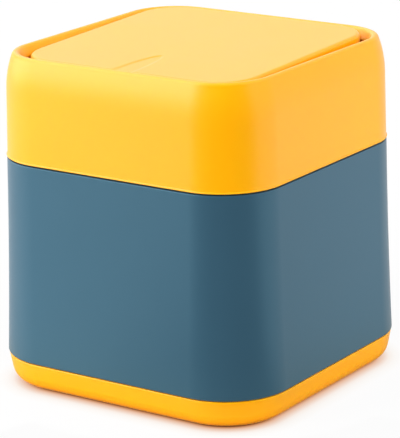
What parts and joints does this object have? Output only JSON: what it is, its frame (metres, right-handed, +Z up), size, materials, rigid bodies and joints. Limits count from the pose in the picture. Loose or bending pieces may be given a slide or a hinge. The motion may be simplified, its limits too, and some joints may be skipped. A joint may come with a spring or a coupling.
{
  "type": "push top countertop bin",
  "caption": "Small square countertop bin with rounded corners, a turned-in base tray, a tall lift-off lid collar and a counterweighted push flap over an inner bucket.",
  "frame": {"origin": "centre of the footprint, on the counter", "axes": "+Z up; -Y is the front, where the flap has its thumb scoop; +X is to the right seen from the front"},
  "size_m": [0.15, 0.15, 0.1604],
  "materials": {
    "lid_yellow": "satin moulded polypropylene",
    "body_blue": "fine satin moulded polypropylene",
    "frame_orange": "plain moulded polypropylene",
    "inner_grey": "plain moulded polypropylene",
    "bush_white": "smooth acetal",
    "pad_rubber": "matt",
    "bright_steel": "zinc plated",
    "weight_iron": "plain bar"
  },
  "bodies": {
    "body": {"body_sleeve": "body_blue", "base_tray": "lid_yellow", "foot_pad_front_left": "pad_rubber", "foot_pad_front_right": "pad_rubber", "foot_pad_rear_left": "pad_rubber", "foot_pad_rear_right": "pad_rubber"},
    "bucket": {"inner_bucket": "inner_grey", "bag_ring": "inner_grey"},
    "lid": {"lid_collar": "lid_yellow", "lid_frame": "frame_orange", "bearing_left": "bush_white", "bearing_right": "bush_white", "stop_bumper_left": "pad_rubber", "stop_bumper_right": "pad_rubber", "frame_screws": "bright_steel"},
    "flap": {"flap_cover": "lid_yellow", "flap_pan": "frame_orange", "counterweight": "weight_iron", "pivot_pin_left": "bright_steel", "pivot_pin_right": "bright_steel", "flap_screws": "bright_steel"}
  },
  "joints": [
    {"name": "flap_swing", "type": "hinge", "parent": "lid", "child": "flap", "pos_m": [0, 0, 0.14855], "axis": [1, 0, 0], "range_deg": [-69.5, 66.5]},
    {"name": "lid_lift", "type": "slide", "parent": "body", "child": "lid", "axis": [0, 0, 1], "range_m": [0, 0.25]},
    {"name": "bucket_lift", "type": "slide", "parent": "body", "child": "bucket", "axis": [0, 0, 1], "range_m": [0, 0.125]}
  ],
  "couplings": [
    {"joint": "bucket_lift", "follows": "lid_lift", "ratio": 0.5}
  ]
}
